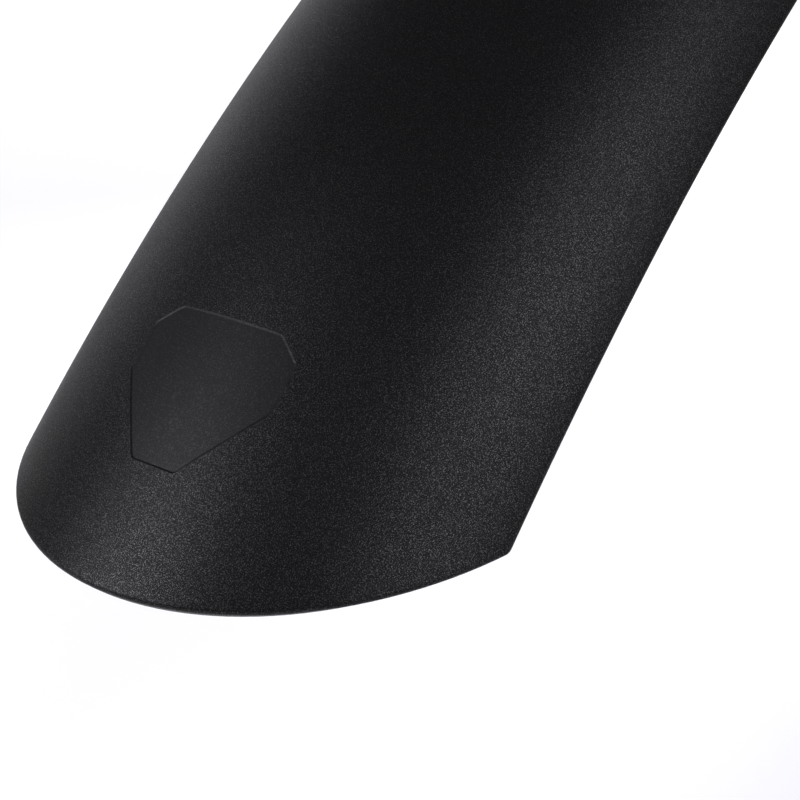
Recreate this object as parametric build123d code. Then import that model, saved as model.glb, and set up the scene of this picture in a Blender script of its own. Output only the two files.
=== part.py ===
from build123d import *
import os
from math import asin, atan2, cos, degrees, radians, sin, sqrt

# Front mudguard for a 28 inch bicycle wheel: a moulded blade hung from a fork crown bracket.
# Frame: origin in the middle of the bracket's fork crown hole, +X forward, +Y left, +Z up.
# Millimetres and degrees. Angles go round the wheel axle from the top, forward positive.

# Blade: width and depth reach to the free edges, before those are rounded
blade_width = 62.3
crown_radius = 363.5
arch_depth = 17.2
edge_phase = 69.5
wall = 1.8
rim_radius = 0.5
nose_angle = 46.88
nose_rake = 47.5
tail_angle = -95.0
tail_rake = 30.0
tail_corner_radius = 14.0
tail_corner_clearance = 0.1

# Badge recess on the crown line, near the nose
badge_from_nose = 13.0
badge_length = 17.0
badge_width = 19.0
badge_head_width = 13.3
badge_foot_width = 5.8
badge_shoulder = 2.4
badge_taper = 9.0
badge_corner_radius = 0.9
badge_depth = 0.1

# Fork crown bracket, pressed from steel sheet
bracket_angle = -26.0
bracket_width = 20.0
bracket_sheet = 2.0
bracket_bend_radius = 2.0
bracket_foot_length = 32.0
bracket_foot_corner = 4.0
crown_hole_height = 18.0
crown_hole_diameter = 6.5

# Rivets and the washers under their clinched ends
rivet_diameter = 4.0
rivet_hole_clearance = 0.1
rivet_head_diameter = 8.0
rivet_head_height = 1.8
rivet_tail_diameter = 6.0
rivet_tail_height = 1.3
rivet_from_tab = 12.0
rivet_from_foot_end = 7.0
washer_diameter = 10.0
washer_thickness = 0.8
washer_seat_clearance = 0.02

# Holes near the tail for a stay clip
stay_hole_diameter = 5.2
stay_hole_from_tail = 60.0
stay_hole_spacing = 24.0

# The blade's section is the upper part of an ellipse
half_width = blade_width / 2
section_a = half_width / sin(radians(edge_phase))
section_b = arch_depth / (1 - cos(radians(edge_phase)))


def radial(angle):
    """Direction from the axle to the crown line."""
    return Vector(sin(radians(angle)), 0, cos(radians(angle)))


def forward(angle):
    """Direction along the crown line, towards the nose."""
    return Vector(cos(radians(angle)), 0, -sin(radians(angle)))


axle = radial(bracket_angle) * -(crown_radius + crown_hole_height)
wheel_axis = Axis(axle, (0, 1, 0))


def crown_plane(angle):
    """Plane on the crown line: X forward, Y left, Z outward."""
    return Plane(axle + radial(angle) * crown_radius, x_dir=forward(angle), z_dir=radial(angle))


def side_plane(angle):
    """Plane of the wheel at the crown line: X forward, Y outward."""
    return Plane(axle + radial(angle) * crown_radius, x_dir=forward(angle), z_dir=(0, -1, 0))


def section_plane(angle):
    """Plane across the blade: X left, Y outward from the axle."""
    return Plane(axle, x_dir=(0, 1, 0), z_dir=forward(angle))


def arc_angle(length):
    """Angle of a length along the crown line."""
    return degrees(length / crown_radius)


def crown_drop(lateral, offset):
    """How far the arch, moved outward by offset, falls at a distance from the crown line."""
    share = lateral / (section_a + offset)
    return (section_b + offset) * (1 - sqrt(1 - share**2))


def arch_line(lift, phase):
    """Arch of the blade's outer face, moved outward by a lift."""
    middle = (0, crown_radius - section_b)
    return EllipticalCenterArc(middle, section_a + lift, section_b + lift, 90 - phase, arc_size=2 * phase)


def arch_section(outer, inner, phase):
    """Strip of even thickness between two arches."""
    top = arch_line(outer, phase)
    under = arch_line(inner, phase)
    ends = [Line(top @ 0, under @ 0), Line(top @ 1, under @ 1)]
    return make_face(Curve() + [top, under] + ends)


def arch_layer(section, start, end):
    """Layer that follows the blade between two angles."""
    return revolve(section_plane(start) * section, wheel_axis, end - start)


def phase_of(lateral):
    """Phase of the arch at a distance from the crown line."""
    return degrees(asin(lateral / section_a))


def drill(angle, diameter):
    """Round cutter through the blade and what lies on it."""
    return crown_plane(angle) * Cylinder(diameter / 2, 2 * arch_depth)


rivet_places = (rivet_from_tab, bracket_foot_length - rivet_from_foot_end)
rivet_angles = [bracket_angle - arc_angle(place) for place in rivet_places]
rivet_hole_diameter = rivet_diameter + rivet_hole_clearance
stay_hole_places = (stay_hole_from_tail, stay_hole_from_tail + stay_hole_spacing)
stay_hole_angles = [tail_angle + arc_angle(place) for place in stay_hole_places]


def badge_cutter():
    """Shield outline cut to an even depth below the blade's outer face."""
    head = -badge_length / 2
    foot = badge_length / 2
    half = [
        (head, badge_head_width / 2),
        (head + badge_shoulder, badge_width / 2),
        (foot - badge_taper, badge_width / 2),
        (foot, badge_foot_width / 2),
    ]
    other_half = [(along, -across) for along, across in reversed(half)]
    outline = make_face(Polyline(*half, *other_half, close=True))
    outline = fillet(outline.vertices(), badge_corner_radius)
    middle = nose_angle - arc_angle(badge_from_nose + badge_length / 2)
    reach = arc_angle(badge_length)
    cut = arch_section(wall, -badge_depth, phase_of(badge_width))
    layer = arch_layer(cut, middle - reach, middle + reach)
    return layer & extrude(crown_plane(middle) * outline, arch_depth, both=True)


def blade_section():
    """Wall under the arch, with its outer corners rounded."""
    strip = arch_section(0, -wall, edge_phase)
    corners = strip.vertices().sort_by(Axis.X)
    return fillet([corners[0], corners[-1]], rim_radius)


rim_low = blade_section().bounding_box().min.Y - tail_corner_clearance
overrun = arc_angle(2 * arch_depth)


def end_outline(rake, side):
    """What lies past a raked cut through the crown line and, near it, below the rim, in the wheel's plane."""
    lean = radians(rake)
    hub = Vector(0, -crown_radius)
    down = Vector(-side * sin(lean), -cos(lean))
    run = crown_radius * cos(lean) - sqrt(rim_low**2 - (crown_radius * sin(lean)) ** 2)
    top = down * (-2 * arch_depth)
    corner = down * run
    turn = degrees(atan2(corner.Y - hub.Y, corner.X))
    rim = CenterArc(hub, rim_low, turn, side * overrun)
    back = rim @ 1
    past = side * 4 * arch_depth
    below = -3 * arch_depth
    rest = Polyline(back, (back.X, below), (past, below), (past, top.Y), top)
    return make_face(Curve() + [Line(top, corner), rim, rest]), corner


def nose_cutter():
    """Raked cut with plain corners."""
    outline, corner = end_outline(nose_rake, 1)
    return extrude(side_plane(nose_angle) * outline, blade_width, both=True)


def tail_cutter():
    """Raked cut with round corners towards the free edges."""
    outline, corner = end_outline(tail_rake, -1)
    outline = fillet(outline.vertices().sort_by_distance(corner)[0], tail_corner_radius)
    return extrude(side_plane(tail_angle) * outline, blade_width, both=True)


def mudguard_blade():
    blade = arch_layer(blade_section(), tail_angle - overrun, nose_angle + overrun)
    blade -= nose_cutter()
    blade -= tail_cutter()
    blade -= badge_cutter()
    for angle in rivet_angles:
        blade -= drill(angle, rivet_hole_diameter)
    for angle in stay_hole_angles:
        blade -= drill(angle, stay_hole_diameter)
    return blade


def crown_bracket():
    half = bracket_width / 2
    hole_radius = crown_radius + crown_hole_height
    foot_end = bracket_angle - arc_angle(bracket_foot_length)
    reach = arc_angle(2 * bracket_sheet)
    front = section_plane(bracket_angle).offset(bracket_sheet / 2)
    strip = crown_plane(bracket_angle) * Box(4 * bracket_foot_length, bracket_width, 2 * arch_depth)
    sheet = arch_section(bracket_sheet, 0, edge_phase)
    foot = arch_layer(sheet, foot_end, bracket_angle + reach) & strip
    foot = split(foot, bisect_by=front, keep=Keep.BOTTOM)
    # Tab: a round-topped plate across the blade, its lower edge inside the foot's sheet
    drop = crown_drop(half, 0)
    upright = Pos(0, crown_radius + (crown_hole_height - drop) / 2)
    outline = upright * Rectangle(bracket_width, crown_hole_height + drop)
    outline += Pos(0, hole_radius) * Circle(half)
    outline -= Pos(0, hole_radius) * Circle(crown_hole_diameter / 2)
    tab = extrude(section_plane(bracket_angle) * outline, bracket_sheet / 2, both=True)
    lower = arch_section(bracket_sheet / 2, -2 * drop, edge_phase)
    under = arch_layer(lower, bracket_angle - reach, bracket_angle + reach)
    bracket = foot + (tab - under)
    plane = crown_plane(bracket_angle)
    inner = plane.from_local_coords(Vector(-bracket_sheet / 2, 0, bracket_sheet))
    bracket = fillet(bracket.edges().sort_by_distance(inner)[0], bracket_bend_radius)
    outer = plane.from_local_coords(Vector(bracket_sheet / 2, 0, 0))
    bracket = fillet(bracket.edges().sort_by_distance(outer)[0], bracket_bend_radius + bracket_sheet)
    back = crown_plane(foot_end)
    height = bracket_sheet / 2 - drop
    for side in (-half, half):
        corner = back.from_local_coords(Vector(0, side, height))
        bracket = fillet(bracket.edges().sort_by_distance(corner)[0], bracket_foot_corner)
    for angle in rivet_angles:
        bracket -= drill(angle, rivet_hole_diameter)
    return bracket


# The washers lie across the hollow of the arch, so their rims touch first
washer_top = -wall - crown_drop(washer_diameter / 2, -wall) - washer_seat_clearance
washer_under = washer_top - washer_thickness


def rivet():
    """Rivet along Z with a domed head and a flat clinched end, the blade's outer face at zero."""
    shank = rivet_diameter / 2
    head = rivet_head_diameter / 2
    tail = rivet_tail_diameter / 2
    head_top = bracket_sheet + rivet_head_height
    tail_tip = washer_under - rivet_tail_height
    dome = TangentArc((0, head_top), (head, bracket_sheet), tangent=(1, 0))
    shank_side = Polyline((head, bracket_sheet), (shank, bracket_sheet), (shank, washer_under))
    clinch = Polyline((shank, washer_under), (tail, washer_under), (shank, tail_tip), (0, tail_tip))
    middle = Line((0, tail_tip), (0, head_top))
    return revolve(Plane.XZ * make_face(Curve() + [dome, shank_side, clinch, middle]), Axis.Z)


def washer():
    """Flat washer along Z, under the wall."""
    ring = Circle(washer_diameter / 2) - Circle(rivet_hole_diameter / 2)
    return Pos(0, 0, washer_under) * extrude(ring, washer_thickness)


nodes = {
    "mudguard_blade": mudguard_blade(),
    "crown_bracket": crown_bracket(),
    "crown_rivets": Compound([(crown_plane(angle) * rivet()).solid() for angle in rivet_angles]),
    "rivet_washers": Compound([(crown_plane(angle) * washer()).solid() for angle in rivet_angles]),
}

os.makedirs("parts", exist_ok=True)
for name, shape in nodes.items():
    export_step(shape, f"parts/{name}.step")
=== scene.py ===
from math import acos, atan2, cos, hypot, pi, radians, sin, sqrt, tan

import bpy
from bpy.props import FloatProperty, FloatVectorProperty, PointerProperty
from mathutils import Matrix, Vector


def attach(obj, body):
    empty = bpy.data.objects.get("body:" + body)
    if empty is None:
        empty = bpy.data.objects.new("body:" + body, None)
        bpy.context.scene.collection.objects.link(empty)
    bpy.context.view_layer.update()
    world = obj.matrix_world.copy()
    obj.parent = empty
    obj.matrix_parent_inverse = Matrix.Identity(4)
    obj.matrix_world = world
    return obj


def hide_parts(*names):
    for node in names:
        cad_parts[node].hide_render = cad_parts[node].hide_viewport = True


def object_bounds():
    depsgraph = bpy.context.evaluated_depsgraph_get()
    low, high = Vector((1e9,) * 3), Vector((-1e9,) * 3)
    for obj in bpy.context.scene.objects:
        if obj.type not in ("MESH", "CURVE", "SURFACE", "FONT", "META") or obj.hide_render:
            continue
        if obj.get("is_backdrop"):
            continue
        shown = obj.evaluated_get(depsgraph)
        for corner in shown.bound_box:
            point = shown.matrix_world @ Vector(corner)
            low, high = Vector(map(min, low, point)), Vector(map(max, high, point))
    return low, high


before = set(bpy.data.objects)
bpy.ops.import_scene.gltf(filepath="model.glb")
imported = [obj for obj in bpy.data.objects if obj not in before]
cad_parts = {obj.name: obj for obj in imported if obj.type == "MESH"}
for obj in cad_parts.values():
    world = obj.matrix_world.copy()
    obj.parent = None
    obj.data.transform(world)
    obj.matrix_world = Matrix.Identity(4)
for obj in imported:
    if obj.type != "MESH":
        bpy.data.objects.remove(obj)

bl_info = {
    "name": "Bicycle mudguard",
    "version": (1, 0, 0),
    "blender": (4, 5, 0),
    "location": "View3D > Sidebar > Mudguard",
    "description": "Models a moulded front mudguard round its packed frame and sets a plain studio",
    "category": "Object",
}

CAD_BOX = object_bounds()

# Fineness of the blade's mesh, and the zones whose rings slide on to the raked end cuts
ROWS = 56
RING = radians(0.75)
NOSE_ZONE = radians(8.0)
NOSE_RINGS = 28
TAIL_ZONE = radians(7.0)
NOSE_CORNER_SEGMENTS = 5
RIM_SEGMENTS = 6
DRILL_SIDES = 48
BADGE_CORNER_SEGMENTS = 4
BADGE_GRID = 0.001

# Sharper edges than this are the rim's
RIM_EDGE = radians(60)

# Over the turn between two of the rim's segments, and under the slope of the recess's sides
SMOOTH_LIMIT = radians(18)

# Places nearer than this, in metres, count as one
NEAR = 1e-6

# Grain of the moulding: noise scale, bump depth in metres, roughness, gloss and weight of its glints
SKIN_GRAIN = {"scale": 9500.0, "depth": 0.00002, "roughness": 0.43, "gloss": 0.08, "spark": 1.0}
BADGE_GRAIN = {"scale": 7000.0, "depth": 0.000012, "roughness": 0.46, "gloss": 0.15, "spark": 0.3}
PLASTIC_IOR = 1.49
GLINT_IOR = 1.7
GLINT_HEIGHTS = (0.53, 0.72)
CLOUD_SCALE = 60.0
PLASTIC_ROUGHNESS_SPREAD = 0.05
PLASTIC_TONES = (0.85, 1.15)

# Gloss of the metals
BRACKET_ROUGHNESS = 0.35
RIVET_ROUGHNESS = 0.3
WASHER_ROUGHNESS = 0.3
METAL_GRAIN_SCALE = 1500.0
METAL_ROUGHNESS_SPREAD = 0.1
METAL_TONES = (0.8, 1.1)

# Floor: its glow makes up for the lamps' fall with distance, and fades in what is mirrored
FLOOR_SIZE = 12.0
FLOOR_ROUGHNESS = 0.9
GLOW_REACH = (0.35, 1.6)
GLOW = (0.15, 0.97)
MIRRORED_REACH = (0.35, 1.2)
MIRRORED_SHARE = (1.0, 0.4)

# World: a mirrored band above the horizon, given by the sine of its height, over a weak even light
HORIZON_BAND = (0.0, 0.1)
HORIZON_SHARE = (0.5, 0.0)
AMBIENT = 0.01

# Lamps, with the width and height of their faces, and the camera
LAMP_COLOUR = (0.935, 0.925, 1.0)
FRONT_FACE = (0.5, 0.6)
LEFT_FACE = (0.8, 0.8)
RIGHT_FACE = (1.2, 0.5)
TOP_FACE = (0.5, 0.5)
BACK_FACE = (0.8, 0.8)
SENSOR_WIDTH = 36.0
CLIP_START = 0.005


class BladeSizes(bpy.types.PropertyGroup):
    """Sizes of the moulded blade. Angles go round the wheel axle from the top, forward positive."""

    crown_radius: FloatProperty(
        name="Crown radius", description="From the wheel axle to the crown line",
        default=0.3635, unit="LENGTH")
    width: FloatProperty(
        name="Width", description="Between the free edges, before these are rounded",
        default=0.0623, unit="LENGTH")
    arch_depth: FloatProperty(
        name="Arch depth", description="From the crown line down to the free edges",
        default=0.0172, unit="LENGTH")
    edge_phase: FloatProperty(
        name="Edge phase", description="Where on its ellipse the arch ends",
        default=radians(69.5), subtype="ANGLE")
    wall: FloatProperty(
        name="Wall", description="Thickness of the moulding",
        default=0.0018, unit="LENGTH")
    rim_radius: FloatProperty(
        name="Rim radius", description="Rounding of the rim, inside and out",
        default=0.0005, unit="LENGTH")
    nose_angle: FloatProperty(
        name="Nose angle", description="Front end of the crown line",
        default=radians(46.88), subtype="ANGLE")
    nose_rake: FloatProperty(
        name="Nose rake", description="Lean of the front cut",
        default=radians(47.5), subtype="ANGLE")
    nose_corner: FloatProperty(
        name="Nose corner", description="Rounding where the front cut meets a free edge",
        default=0.0012, unit="LENGTH")
    tail_angle: FloatProperty(
        name="Tail angle", description="Rear end of the crown line",
        default=radians(-95.0), subtype="ANGLE")
    tail_rake: FloatProperty(
        name="Tail rake", description="Lean of the rear cut",
        default=radians(30.0), subtype="ANGLE")
    tail_corner: FloatProperty(
        name="Tail corner", description="Rounding where the rear cut meets a free edge",
        default=0.014, unit="LENGTH")
    bracket_angle: FloatProperty(
        name="Bracket angle", description="Where the fork crown bracket stands",
        default=radians(-26.0), subtype="ANGLE")
    crown_hole_height: FloatProperty(
        name="Crown hole height", description="From the crown line up to the fork crown hole",
        default=0.018, unit="LENGTH")


class BadgeSizes(bpy.types.PropertyGroup):
    """Sizes of the shield-shaped recess near the nose."""

    from_nose: FloatProperty(
        name="From nose", description="From the nose to the recess's foot",
        default=0.013, unit="LENGTH")
    length: FloatProperty(
        name="Length", description="Along the crown line",
        default=0.017, unit="LENGTH")
    width: FloatProperty(
        name="Width", description="Across the shoulders",
        default=0.019, unit="LENGTH")
    head_width: FloatProperty(
        name="Head width", description="Across the edge away from the nose",
        default=0.0133, unit="LENGTH")
    foot_width: FloatProperty(
        name="Foot width", description="Across the edge towards the nose",
        default=0.0058, unit="LENGTH")
    shoulder: FloatProperty(
        name="Shoulder", description="Length of the slanted shoulders",
        default=0.0024, unit="LENGTH")
    taper: FloatProperty(
        name="Taper", description="Length of the slanted sides towards the nose",
        default=0.009, unit="LENGTH")
    corner: FloatProperty(
        name="Corner", description="Rounding of the outline's corners",
        default=0.0009, unit="LENGTH")
    depth: FloatProperty(
        name="Depth", description="Below the blade's outer face",
        default=0.0001, unit="LENGTH")
    draft: FloatProperty(
        name="Draft", description="Lean of the recess's sides from upright",
        default=radians(65.0), subtype="ANGLE")


class HoleSizes(bpy.types.PropertyGroup):
    """Sizes of the holes through the blade, measured along the crown line."""

    rivet_diameter: FloatProperty(
        name="Rivet holes", description="Diameter of the holes under the bracket",
        default=0.0041, unit="LENGTH")
    rivet_from_bracket: FloatProperty(
        name="First rivet", description="From the bracket's tab to the first rivet",
        default=0.012, unit="LENGTH")
    rivet_spacing: FloatProperty(
        name="Rivet spacing", description="Between the two rivets",
        default=0.013, unit="LENGTH")
    stay_diameter: FloatProperty(
        name="Stay holes", description="Diameter of the holes for a stay clip",
        default=0.0052, unit="LENGTH")
    stay_from_tail: FloatProperty(
        name="First stay hole", description="From the tail to the lower hole",
        default=0.060, unit="LENGTH")
    stay_spacing: FloatProperty(
        name="Stay hole spacing", description="Between the two stay holes",
        default=0.024, unit="LENGTH")


class Finishes(bpy.types.PropertyGroup):
    """Colours of the materials."""

    plastic: FloatVectorProperty(
        name="Plastic", description="Black of the moulding",
        default=(0.0042, 0.0042, 0.0044), size=3, subtype="COLOR", min=0.0, max=1.0)
    zinc: FloatVectorProperty(
        name="Zinc", description="Plating of the bracket and the washers",
        default=(0.50, 0.51, 0.52), size=3, subtype="COLOR", min=0.0, max=1.0)
    aluminium: FloatVectorProperty(
        name="Aluminium", description="Bare metal of the rivets",
        default=(0.66, 0.66, 0.67), size=3, subtype="COLOR", min=0.0, max=1.0)
    paper: FloatVectorProperty(
        name="Paper", description="Floor of the studio",
        default=(0.86, 0.86, 0.86), size=3, subtype="COLOR", min=0.0, max=1.0)


class StageSizes(bpy.types.PropertyGroup):
    """Places of the camera and the lamps."""

    camera_place: FloatVectorProperty(
        name="Camera", description="Where the camera stands",
        default=(0.5180, 0.0994, -0.01465), size=3, subtype="TRANSLATION", unit="LENGTH", precision=5)
    camera_sight: FloatVectorProperty(
        name="Sight", description="Direction in which the camera looks",
        default=(-0.7305, -0.5347, -0.4247), size=3, subtype="DIRECTION")
    camera_lens: FloatProperty(
        name="Lens", description="Focal length on a 36 mm sensor, in millimetres",
        default=69.8)
    front_lamp: FloatVectorProperty(
        name="Front lamp", description="Direction from the nose to the softbox in front",
        default=(0.694, -0.522, 0.495), size=3, subtype="DIRECTION")
    front_power: FloatProperty(
        name="Front power", description="Power of the softbox in front",
        default=7.8, unit="POWER")
    left_lamp: FloatVectorProperty(
        name="Left lamp", description="Direction from the nose to the softbox at the left",
        default=(0.0, 0.838, 0.545), size=3, subtype="DIRECTION")
    left_power: FloatProperty(
        name="Left power", description="Power of the softbox at the left",
        default=7.0, unit="POWER")
    right_lamp: FloatVectorProperty(
        name="Right lamp", description="Direction from the nose to the strip light at the right",
        default=(-0.56, -0.78, 0.29), size=3, subtype="DIRECTION")
    right_power: FloatProperty(
        name="Right power", description="Power of the strip light at the right",
        default=1.6, unit="POWER")
    top_lamp: FloatVectorProperty(
        name="Top lamp", description="Direction from the nose to the softbox above",
        default=(0.60, 0.16, 0.78), size=3, subtype="DIRECTION")
    top_power: FloatProperty(
        name="Top power", description="Power of the softbox above",
        default=0.45, unit="POWER")
    back_lamp: FloatVectorProperty(
        name="Back lamp", description="Direction from the nose to the softbox behind",
        default=(-0.84, -0.1, 0.53), size=3, subtype="DIRECTION")
    back_power: FloatProperty(
        name="Back power", description="Power of the softbox behind",
        default=16.0, unit="POWER")
    back_distance: FloatProperty(
        name="Back distance", description="From the nose to the softbox behind",
        default=1.6, unit="LENGTH")
    lamp_distance: FloatProperty(
        name="Lamp distance", description="From the nose to the other lamps",
        default=0.9, unit="LENGTH")


class MudguardSettings(bpy.types.PropertyGroup):
    """Everything that the panel shows."""

    blade: PointerProperty(type=BladeSizes)
    badge: PointerProperty(type=BadgeSizes)
    holes: PointerProperty(type=HoleSizes)
    finishes: PointerProperty(type=Finishes)
    stage: PointerProperty(type=StageSizes)


def settings():
    return bpy.context.scene.mudguard


def radial(angle):
    """Direction from the axle to the crown line."""
    return Vector((sin(angle), 0, cos(angle)))


def axle_place(blade):
    """The wheel axle in the shared frame, whose origin is the fork crown hole."""
    return radial(blade.bracket_angle) * -(blade.crown_radius + blade.crown_hole_height)


def arch_axes(blade):
    """Half axes of the ellipse whose upper part is the blade's section."""
    across = blade.width / 2 / sin(blade.edge_phase)
    outward = blade.arch_depth / (1 - cos(blade.edge_phase))
    return across, outward


def arch_radius(blade, lateral, depth):
    """Distance from the axle to a depth below the outer face, beside the crown line."""
    across, outward = arch_axes(blade)
    share = lateral / (across - depth)
    return blade.crown_radius - outward + (outward - depth) * sqrt(1 - share**2)


def cut_angle(blade, radius, end_angle, rake, corner, side):
    """Angle at which a raked end cut, rounded towards the free edge, crosses a circle round the axle."""
    crown = blade.crown_radius
    edge = crown - blade.arch_depth
    slope = crown * cos(rake)
    run = slope - sqrt((edge + corner) ** 2 - (corner + crown * sin(rake)) ** 2)
    centre_along = -side * (run * sin(rake) + corner * cos(rake))
    centre_out = crown - run * cos(rake) + corner * sin(rake)
    reach = hypot(centre_along, centre_out)
    if radius < hypot(run * sin(rake), crown - run * cos(rake)):
        swing = (radius**2 + reach**2 - corner**2) / (2 * radius * reach)
        return end_angle + atan2(centre_along, centre_out) + side * acos(min(1.0, swing))
    step = slope - sqrt(slope**2 - crown**2 + radius**2)
    return end_angle + atan2(-side * sin(rake) * step, crown - cos(rake) * step)


def clear_selection():
    """Leaves edit mode and deselects everything, before a primitive is added."""
    if bpy.context.object and bpy.context.object.mode != "OBJECT":
        bpy.ops.object.mode_set(mode="OBJECT")
    bpy.ops.object.select_all(action="DESELECT")


def pick_vertices(piece, test):
    """Selects, in edit mode, the vertices whose place passes a test."""
    bpy.ops.object.mode_set(mode="EDIT")
    bpy.ops.mesh.select_mode(type="VERT")
    bpy.ops.mesh.select_all(action="DESELECT")
    bpy.ops.object.mode_set(mode="OBJECT")
    found = 0
    for vertex in piece.data.vertices:
        vertex.select = test(vertex.co)
        found += vertex.select
    if not found:
        raise RuntimeError("nothing to select on " + piece.name)
    bpy.ops.object.mode_set(mode="EDIT")
    bpy.ops.mesh.select_mode(type="VERT")


def apply_modifier(piece, name, kind, **values):
    """Adds a modifier to a piece with its values and applies it."""
    bpy.ops.object.mode_set(mode="OBJECT")
    modifier = piece.modifiers.new(name, kind)
    for key, value in values.items():
        setattr(modifier, key, value)
    bpy.context.view_layer.objects.active = piece
    bpy.ops.object.modifier_apply(modifier=name)


def cut_away(piece, cutter):
    """Takes a cutter's solid out of a piece, with the cutter's material, and removes the cutter."""
    apply_modifier(
        piece, "cut", "BOOLEAN", operation="DIFFERENCE", solver="EXACT", object=cutter,
        material_mode="TRANSFER")
    mesh = cutter.data
    bpy.data.objects.remove(cutter)
    bpy.data.meshes.remove(mesh)


def spin_skin(blade):
    """The blade's outer face: an arch drawn over the axle, spun to the nose and to the tail."""
    across, outward = arch_axes(blade)
    phase = blade.edge_phase
    clear_selection()
    bpy.ops.mesh.primitive_plane_add(size=blade.wall)
    piece = bpy.context.object
    bpy.ops.object.mode_set(mode="EDIT")
    bpy.ops.mesh.merge(type="CENTER")
    bpy.ops.transform.translate(value=(0, -sin(phase), cos(phase)))
    bpy.ops.mesh.spin(steps=ROWS, angle=2 * phase, center=(0, 0, 0), axis=(1, 0, 0))
    bpy.ops.mesh.select_all(action="SELECT")
    bpy.ops.transform.resize(value=(1, across, outward), center_override=(0, 0, 0))
    bpy.ops.transform.translate(value=(0, 0, blade.crown_radius - outward))
    front = blade.nose_angle - NOSE_ZONE
    bpy.ops.mesh.spin(steps=round(front / RING), angle=-front, center=(0, 0, 0), axis=(0, 1, 0))
    bpy.ops.mesh.spin(steps=NOSE_RINGS, angle=-NOSE_ZONE, center=(0, 0, 0), axis=(0, 1, 0))
    pick_vertices(piece, lambda place: abs(place.x) < NEAR)
    back = -blade.tail_angle
    bpy.ops.mesh.spin(steps=round(back / RING), angle=back, center=(0, 0, 0), axis=(0, 1, 0))
    bpy.ops.object.mode_set(mode="OBJECT")
    return piece


def rake_ends(piece, blade):
    """Slides the rings near each end round the axle until the last ones lie on the raked cuts."""
    front = blade.nose_angle - NOSE_ZONE
    back = blade.tail_angle + TAIL_ZONE
    for vertex in piece.data.vertices:
        along, lateral, up = vertex.co
        radius = hypot(along, up)
        angle = atan2(along, up)
        if angle > front:
            end = cut_angle(blade, radius, blade.nose_angle, blade.nose_rake, 0.0, 1)
            angle = front + (end - front) * (angle - front) / NOSE_ZONE
        elif angle < back:
            end = cut_angle(blade, radius, blade.tail_angle, blade.tail_rake, blade.tail_corner, -1)
            angle = back + (end - back) * (back - angle) / TAIL_ZONE
        vertex.co = (radius * sin(angle), lateral, radius * cos(angle))


def round_nose_corners(piece, blade):
    """Rounds the two corners where the front cut meets the free edges."""
    edge = blade.crown_radius - blade.arch_depth
    corner = radial(cut_angle(blade, edge, blade.nose_angle, blade.nose_rake, 0.0, 1)) * edge
    pick_vertices(piece, lambda place: (Vector((place.x, 0, place.z)) - corner).length < blade.wall / 4)
    reach = blade.nose_corner * tan((pi / 2 - blade.nose_rake) / 2)
    bpy.ops.mesh.bevel(offset=reach, segments=NOSE_CORNER_SEGMENTS, affect="VERTICES", profile=0.5)
    bpy.ops.object.mode_set(mode="OBJECT")


def thicken_skin(piece, blade):
    """Gives the skin its wall, inward, and rounds the rim on both sides."""
    bpy.ops.object.mode_set(mode="EDIT")
    bpy.ops.mesh.select_all(action="SELECT")
    bpy.ops.mesh.normals_make_consistent(inside=False)
    bpy.ops.object.mode_set(mode="OBJECT")
    top = Vector((0, 0, blade.crown_radius))
    crown = min(piece.data.polygons, key=lambda face: (face.center - top).length)
    if crown.normal.z < 0:
        bpy.ops.object.mode_set(mode="EDIT")
        bpy.ops.mesh.flip_normals()
    apply_modifier(
        piece, "wall", "SOLIDIFY", thickness=blade.wall, offset=-1.0, use_even_offset=True,
        use_quality_normals=True)
    apply_modifier(
        piece, "rim", "BEVEL", width=blade.rim_radius, segments=RIM_SEGMENTS, limit_method="ANGLE",
        angle_limit=RIM_EDGE, use_clamp_overlap=False)


def keep_in_frame(piece):
    """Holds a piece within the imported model's box, whose flat facets cut just inside the true arc."""
    low, high = CAD_BOX
    for vertex in piece.data.vertices:
        vertex.co = [min(max(vertex.co[axis], low[axis]), high[axis]) for axis in range(3)]


def stand_on_crown(piece, blade, angle):
    """Stands a cutter, modelled round the origin, on the crown line."""
    piece.location = radial(angle) * blade.crown_radius
    piece.rotation_euler = (0, angle, 0)
    bpy.context.view_layer.update()


def drill_hole(piece, blade, angle, diameter):
    """Drills one round hole through the crown of the blade."""
    clear_selection()
    bpy.ops.mesh.primitive_cylinder_add(vertices=DRILL_SIDES, radius=diameter / 2, depth=blade.arch_depth)
    drill = bpy.context.object
    stand_on_crown(drill, blade, angle)
    cut_away(piece, drill)


def badge_outline(badge, grow):
    """Corners of the shield, head at the rear, moved outward by an even distance, and each one's turn."""
    head = -badge.length / 2
    foot = badge.length / 2
    half = [
        Vector((head, badge.head_width / 2)),
        Vector((head + badge.shoulder, badge.width / 2)),
        Vector((foot - badge.taper, badge.width / 2)),
        Vector((foot, badge.foot_width / 2)),
    ]
    corners = half + [Vector((corner.x, -corner.y)) for corner in reversed(half)]
    grown = []
    for index, corner in enumerate(corners):
        before = (corner - corners[index - 1]).normalized()
        after = (corners[(index + 1) % len(corners)] - corner).normalized()
        outward = (before - after).normalized()
        turn = before.angle(after)
        grown.append((corner + outward * grow / cos(turn / 2), turn))
    return grown


def badge_sheet(badge, corners, level):
    """A flat shield at a level, with its corners rounded."""
    clear_selection()
    bpy.ops.mesh.primitive_circle_add(vertices=len(corners), radius=badge.length, fill_type="NGON")
    sheet = bpy.context.object
    for vertex, (corner, _) in zip(sheet.data.vertices, corners):
        vertex.co = (*corner, level)
    for corner, turn in corners:
        pick_vertices(sheet, lambda place: (place.xy - corner).length < NEAR)
        reach = badge.corner * tan(turn / 2)
        bpy.ops.mesh.bevel(offset=reach, segments=BADGE_CORNER_SEGMENTS, affect="VERTICES", profile=0.5)
    bpy.ops.mesh.select_all(action="SELECT")
    bpy.ops.mesh.normals_make_consistent(inside=False)
    bpy.ops.object.mode_set(mode="OBJECT")
    return sheet


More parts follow.
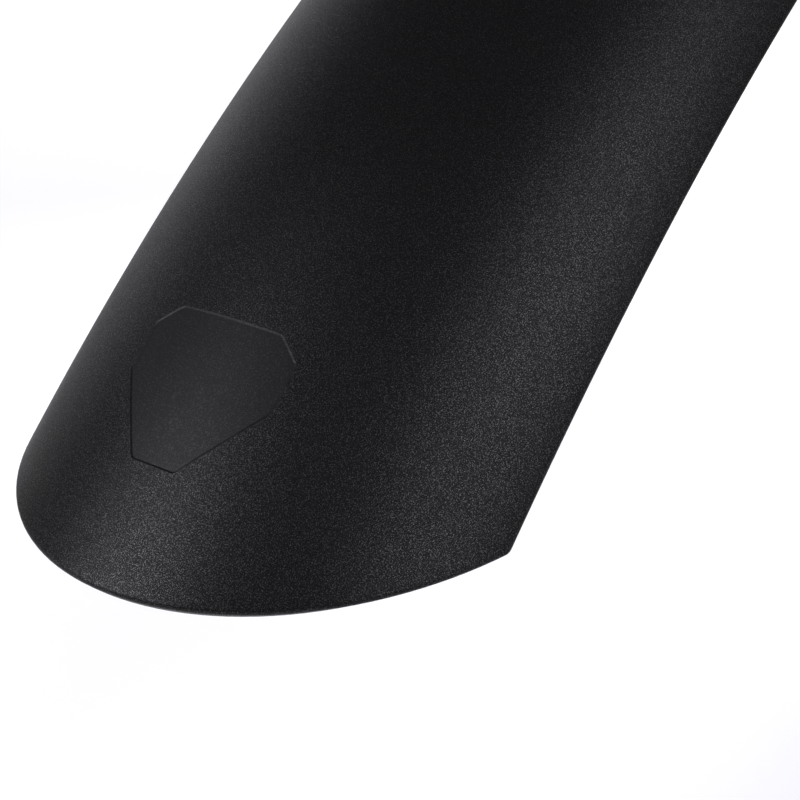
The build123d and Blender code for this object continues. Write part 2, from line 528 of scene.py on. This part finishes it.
def divide_sheet(sizes):
    """Cuts what is in edit mode along X and Y into strips of about the grid's width."""
    for axis, size in enumerate(sizes):
        count = int(size / BADGE_GRID)
        for index in range(1, count):
            place = Vector((0, 0, 0))
            place[axis] = -size / 2 + size * index / count
            normal = Vector((0, 0, 0))
            normal[axis] = 1
            bpy.ops.mesh.select_all(action="SELECT")
            bpy.ops.mesh.bisect(plane_co=place, plane_no=normal)


def close_above(height):
    """Raises the open border of what is in edit mode and closes it at the top."""
    bpy.ops.mesh.select_all(action="DESELECT")
    bpy.ops.mesh.select_non_manifold(
        extend=False, use_boundary=True, use_wire=False, use_multi_face=False, use_non_contiguous=False,
        use_verts=False)
    bpy.ops.mesh.extrude_region_move(TRANSFORM_OT_translate={"value": (0, 0, height)})
    bpy.ops.mesh.edge_face_add()
    bpy.ops.mesh.select_all(action="SELECT")
    bpy.ops.mesh.normals_make_consistent(inside=False)


def bend_over_arch(piece, blade):
    """Bends a flat solid so that each of its levels follows the blade's outer face."""
    for vertex in piece.data.vertices:
        along, across, level = vertex.co
        radius = arch_radius(blade, across, -level)
        vertex.co.z = sqrt(radius**2 - along**2) - blade.crown_radius


def badge_cutter(blade, badge, material):
    """The shield as a solid with sloping sides, whose underside follows the blade at an even depth."""
    lift = badge.depth / 2
    drop = lift + badge.depth
    slope = tan(badge.draft)
    cutter = badge_sheet(badge, badge_outline(badge, lift * slope), lift)
    cutter.data.materials.append(material)
    faces_down = cutter.data.polygons[0].normal.z < 0
    bpy.ops.object.mode_set(mode="EDIT")
    bpy.ops.mesh.inset(thickness=drop * slope, depth=drop if faces_down else -drop)
    divide_sheet((badge.length, badge.width))
    close_above(blade.wall)
    bpy.ops.object.mode_set(mode="OBJECT")
    bend_over_arch(cutter, blade)
    middle = badge.from_nose + badge.length / 2
    stand_on_crown(cutter, blade, blade.nose_angle - middle / blade.crown_radius)
    return cutter


def value_node(tree, kind, place, **inputs):
    """Adds a shader node at a place with plain values on its sockets."""
    node = tree.nodes.new(kind)
    node.location = place
    for name, value in inputs.items():
        node.inputs[name.replace("_", " ")].default_value = value
    return node


def map_range(tree, source, ends, results, place):
    """Adds a node that turns a socket's values between two ends into those between two results."""
    node = value_node(
        tree, "ShaderNodeMapRange", place, From_Min=ends[0], From_Max=ends[1], To_Min=results[0],
        To_Max=results[1])
    tree.links.new(source, node.inputs["Value"])
    return node.outputs["Result"]


def combine(tree, operation, first, second, place):
    """Adds a math node that joins two sockets."""
    node = value_node(tree, "ShaderNodeMath", place)
    node.operation = operation
    tree.links.new(first, node.inputs[0])
    tree.links.new(second, node.inputs[1])
    return node.outputs[0]


def grain_group():
    """Grain of a spark-eroded mould: its height, a mask of the peaks that glint, and a slow tone."""
    if "spark_grain" in bpy.data.node_groups:
        return bpy.data.node_groups["spark_grain"]
    group = bpy.data.node_groups.new("spark_grain", "ShaderNodeTree")
    group.interface.new_socket("Vector", in_out="INPUT", socket_type="NodeSocketVector")
    group.interface.new_socket("Scale", in_out="INPUT", socket_type="NodeSocketFloat")
    for label in ("Height", "Spark", "Tone"):
        group.interface.new_socket(label, in_out="OUTPUT", socket_type="NodeSocketFloat")
    given = group.nodes.new("NodeGroupInput")
    put = group.nodes.new("NodeGroupOutput")
    pits = value_node(group, "ShaderNodeTexNoise", (-300, 100), Detail=2.0, Roughness=0.5)
    cloud = value_node(
        group, "ShaderNodeTexNoise", (-300, -200), Scale=CLOUD_SCALE, Detail=3.0, Roughness=0.5)
    group.links.new(given.outputs["Vector"], pits.inputs["Vector"])
    group.links.new(given.outputs["Scale"], pits.inputs["Scale"])
    group.links.new(given.outputs["Vector"], cloud.inputs["Vector"])
    spark = map_range(group, pits.outputs[0], GLINT_HEIGHTS, (0.0, 1.0), (0, 0))
    group.links.new(pits.outputs[0], put.inputs["Height"])
    group.links.new(spark, put.inputs["Spark"])
    group.links.new(cloud.outputs[0], put.inputs["Tone"])
    return group


def new_material(name):
    """A material with nodes, its tree and its shader."""
    material = bpy.data.materials.new(name)
    material.use_nodes = True
    tree = material.node_tree
    return material, tree, tree.nodes["Principled BSDF"]


def add_grain(tree, scale):
    """Places the grain in a material at its own scale, fixed to the piece."""
    place = value_node(tree, "ShaderNodeTexCoord", (-1200, 0))
    grain = value_node(tree, "ShaderNodeGroup", (-900, 0))
    grain.node_tree = grain_group()
    grain.inputs["Scale"].default_value = scale
    tree.links.new(place.outputs["Object"], grain.inputs["Vector"])
    return grain


def vary_roughness(tree, shader, source, middle, spread):
    """Lets the roughness change a little with a socket."""
    rough = map_range(tree, source, (0.0, 1.0), (middle - spread, middle + spread), (-600, -100))
    tree.links.new(rough, shader.inputs["Roughness"])


def vary_colour(tree, shader, source, colour, tones):
    """Lets the colour change with a socket between a darker and a lighter tone."""
    tint = value_node(tree, "ShaderNodeMix", (-600, 200))
    tint.data_type = "RGBA"
    for label, tone in zip("AB", tones):
        tint.inputs[label].default_value = (*[tone * part for part in colour], 1.0)
    tree.links.new(source, tint.inputs["Factor"])
    tree.links.new(tint.outputs["Result"], shader.inputs["Base Color"])


def moulded_plastic(name, colour, scale, depth, roughness, gloss, spark):
    """Black plastic with the mould's grain, whose peaks glint."""
    material, tree, shader = new_material(name)
    shader.inputs["IOR"].default_value = PLASTIC_IOR
    shader.inputs["Specular IOR Level"].default_value = gloss
    shader.inputs["Coat Roughness"].default_value = roughness
    shader.inputs["Coat IOR"].default_value = GLINT_IOR
    grain = add_grain(tree, scale)
    bump = value_node(tree, "ShaderNodeBump", (-300, -300), Strength=1.0, Distance=depth)
    tree.links.new(grain.outputs["Height"], bump.inputs["Height"])
    tree.links.new(bump.outputs["Normal"], shader.inputs["Normal"])
    glint = map_range(tree, grain.outputs["Spark"], (0.0, 1.0), (0.0, spark), (-600, -500))
    tree.links.new(glint, shader.inputs["Coat Weight"])
    vary_roughness(tree, shader, grain.outputs["Tone"], roughness, PLASTIC_ROUGHNESS_SPREAD)
    vary_colour(tree, shader, grain.outputs["Tone"], colour, PLASTIC_TONES)
    return material


def plain_metal(name, colour, roughness):
    """Metal with a fine change of gloss and a slow change of tone."""
    material, tree, shader = new_material(name)
    shader.inputs["Metallic"].default_value = 1.0
    grain = add_grain(tree, METAL_GRAIN_SCALE)
    vary_roughness(tree, shader, grain.outputs["Height"], roughness, METAL_ROUGHNESS_SPREAD)
    vary_colour(tree, shader, grain.outputs["Tone"], colour, METAL_TONES)
    return material


def background_rays(tree, share):
    """One for the rays that the camera sends, and a share for those that are mirrored or go through glass."""
    rays = value_node(tree, "ShaderNodeLightPath", (-1100, 300))
    glossy = rays.outputs["Is Glossy Ray"]
    mirrored = combine(tree, "MAXIMUM", glossy, rays.outputs["Is Transmission Ray"], (-900, 200))
    dimmed = combine(tree, "MULTIPLY", mirrored, share, (-700, 100))
    return combine(tree, "MAXIMUM", rays.outputs["Is Camera Ray"], dimmed, (-500, 300))


def floor_paper(finishes):
    """Pale paper that glows just enough to be white, more so far from the part."""
    material, tree, shader = new_material("floor_paper")
    shader.inputs["Base Color"].default_value = (*finishes.paper, 1.0)
    shader.inputs["Roughness"].default_value = FLOOR_ROUGHNESS
    shader.inputs["Specular IOR Level"].default_value = 0.0
    shader.inputs["Emission Color"].default_value = (1, 1, 1, 1)
    place = value_node(tree, "ShaderNodeTexCoord", (-1500, -300))
    away = value_node(tree, "ShaderNodeVectorMath", (-1300, -300))
    away.operation = "LENGTH"
    tree.links.new(place.outputs["Object"], away.inputs[0])
    distance = away.outputs["Value"]
    glow = map_range(tree, distance, GLOW_REACH, GLOW, (-300, -300))
    share = map_range(tree, distance, MIRRORED_REACH, MIRRORED_SHARE, (-1100, -300))
    shown = combine(tree, "MULTIPLY", glow, background_rays(tree, share), (-100, -300))
    tree.links.new(shown, shader.inputs["Emission Strength"])
    return material


def lay_floor(finishes):
    """Lays the paper under the part."""
    low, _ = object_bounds()
    clear_selection()
    bpy.ops.mesh.primitive_plane_add(size=FLOOR_SIZE, location=(0, 0, low.z))
    floor = bpy.context.object
    floor.name = "floor"
    floor.data.materials.append(floor_paper(finishes))
    floor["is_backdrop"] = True


def hang_lamps(context, stage, blade):
    """Hangs the lamps round the nose, each turned towards it."""
    nose = axle_place(blade) + radial(blade.nose_angle) * blade.crown_radius
    lamps = (
        ("front_softbox", stage.front_lamp, stage.front_power, stage.lamp_distance, FRONT_FACE),
        ("left_softbox", stage.left_lamp, stage.left_power, stage.lamp_distance, LEFT_FACE),
        ("right_strip", stage.right_lamp, stage.right_power, stage.lamp_distance, RIGHT_FACE),
        ("top_softbox", stage.top_lamp, stage.top_power, stage.lamp_distance, TOP_FACE),
        ("back_softbox", stage.back_lamp, stage.back_power, stage.back_distance, BACK_FACE),
    )
    for name, direction, power, distance, face in lamps:
        lamp = bpy.data.lights.new(name, "AREA")
        lamp.shape = "RECTANGLE"
        lamp.size, lamp.size_y = face
        lamp.energy = power
        lamp.color = LAMP_COLOUR
        box = bpy.data.objects.new(name, lamp)
        way = Vector(direction).normalized()
        box.location = nose + way * distance
        box.rotation_euler = (-way).to_track_quat("-Z", "Y").to_euler()
        context.scene.collection.objects.link(box)


def make_world(context):
    """White to the camera, with a band above the horizon for what is mirrored, and a weak even light."""
    world = bpy.data.worlds.new("studio")
    world.use_nodes = True
    tree = world.node_tree
    background = tree.nodes["Background"]
    background.inputs["Color"].default_value = (1, 1, 1, 1)
    way = value_node(tree, "ShaderNodeTexCoord", (-1300, -200))
    rise = value_node(tree, "ShaderNodeSeparateXYZ", (-1100, -200))
    tree.links.new(way.outputs["Generated"], rise.inputs["Vector"])
    band = map_range(tree, rise.outputs["Z"], HORIZON_BAND, HORIZON_SHARE, (-900, -200))
    level = map_range(tree, background_rays(tree, band), (0.0, 1.0), (AMBIENT, 1.0), (-300, 0))
    tree.links.new(level, background.inputs["Strength"])
    context.scene.world = world


def place_camera(context, stage):
    """Stands the camera where the photograph was taken from."""
    lens = bpy.data.cameras.new("camera")
    lens.lens = stage.camera_lens
    lens.sensor_width = SENSOR_WIDTH
    lens.clip_start = CLIP_START
    camera = bpy.data.objects.new("camera", lens)
    camera.location = stage.camera_place
    camera.rotation_euler = Vector(stage.camera_sight).to_track_quat("-Z", "Y").to_euler()
    context.scene.collection.objects.link(camera)
    context.scene.camera = camera


class MUDGUARD_OT_blade(bpy.types.Operator):
    """Models the moulded blade with its badge recess and its holes"""

    bl_idname = "mudguard.make_blade"
    bl_label = "Make blade"

    def execute(self, context):
        blade = settings().blade
        badge = settings().badge
        holes = settings().holes
        colour = settings().finishes.plastic
        skin = moulded_plastic("blade_plastic", colour, **SKIN_GRAIN)
        floor = moulded_plastic("badge_plastic", colour, **BADGE_GRAIN)
        piece = spin_skin(blade)
        piece.name = "blade"
        piece.data.name = "blade"
        piece.data.materials.append(skin)
        rake_ends(piece, blade)
        round_nose_corners(piece, blade)
        thicken_skin(piece, blade)
        cut_away(piece, badge_cutter(blade, badge, floor))
        for step in (0, 1):
            reach = holes.rivet_from_bracket + step * holes.rivet_spacing
            angle = blade.bracket_angle - reach / blade.crown_radius
            drill_hole(piece, blade, angle, holes.rivet_diameter)
            reach = holes.stay_from_tail + step * holes.stay_spacing
            angle = blade.tail_angle + reach / blade.crown_radius
            drill_hole(piece, blade, angle, holes.stay_diameter)
        bpy.ops.object.select_all(action="DESELECT")
        piece.select_set(True)
        context.view_layer.objects.active = piece
        piece.location = axle_place(blade)
        bpy.ops.object.transform_apply(location=True, rotation=False, scale=False)
        keep_in_frame(piece)
        bpy.ops.object.shade_smooth_by_angle(angle=SMOOTH_LIMIT)
        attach(piece, "root")
        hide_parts("mudguard_blade")
        return {"FINISHED"}


class MUDGUARD_OT_metal(bpy.types.Operator):
    """Gives the bracket, its rivets and their washers their metals"""

    bl_idname = "mudguard.finish_metal"
    bl_label = "Finish metal"

    def execute(self, context):
        finishes = settings().finishes
        metals = {
            "crown_bracket": plain_metal("bracket_steel", finishes.zinc, BRACKET_ROUGHNESS),
            "crown_rivets": plain_metal("rivet_aluminium", finishes.aluminium, RIVET_ROUGHNESS),
            "rivet_washers": plain_metal("washer_steel", finishes.zinc, WASHER_ROUGHNESS),
        }
        for node, metal in metals.items():
            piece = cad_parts[node]
            if not piece.material_slots:
                piece.data.materials.append(metal)
            for slot in piece.material_slots:
                slot.material = metal
        return {"FINISHED"}


class MUDGUARD_OT_stage(bpy.types.Operator):
    """Sets the floor, the lamps, the white background and the camera"""

    bl_idname = "mudguard.set_stage"
    bl_label = "Set stage"

    def execute(self, context):
        stage = settings().stage
        lay_floor(settings().finishes)
        hang_lamps(context, stage, settings().blade)
        make_world(context)
        place_camera(context, stage)
        context.scene.view_settings.view_transform = "Standard"
        return {"FINISHED"}


class MUDGUARD_PT_panel(bpy.types.Panel):
    """Lists the sizes and the steps that make the mudguard"""

    bl_idname = "MUDGUARD_PT_panel"
    bl_label = "Mudguard"
    bl_space_type = "VIEW_3D"
    bl_region_type = "UI"
    bl_category = "Mudguard"

    def draw(self, context):
        chosen = context.scene.mudguard
        for group in (chosen.blade, chosen.badge, chosen.holes, chosen.finishes, chosen.stage):
            box = self.layout.box()
            for name in group.__annotations__:
                box.prop(group, name)
        for operator in OPERATORS:
            self.layout.operator(operator.bl_idname)


OPERATORS = (MUDGUARD_OT_blade, MUDGUARD_OT_metal, MUDGUARD_OT_stage)
GROUPS = (BladeSizes, BadgeSizes, HoleSizes, Finishes, StageSizes, MudguardSettings)
CLASSES = (*GROUPS, *OPERATORS, MUDGUARD_PT_panel)


def register():
    for cls in CLASSES:
        bpy.utils.register_class(cls)
    bpy.types.Scene.mudguard = PointerProperty(type=MudguardSettings)


def unregister():
    del bpy.types.Scene.mudguard
    for cls in reversed(CLASSES):
        bpy.utils.unregister_class(cls)


def main():
    register()
    bpy.ops.mudguard.make_blade()
    bpy.ops.mudguard.finish_metal()
    bpy.ops.mudguard.set_stage()


if __name__ == "__main__":
    main()
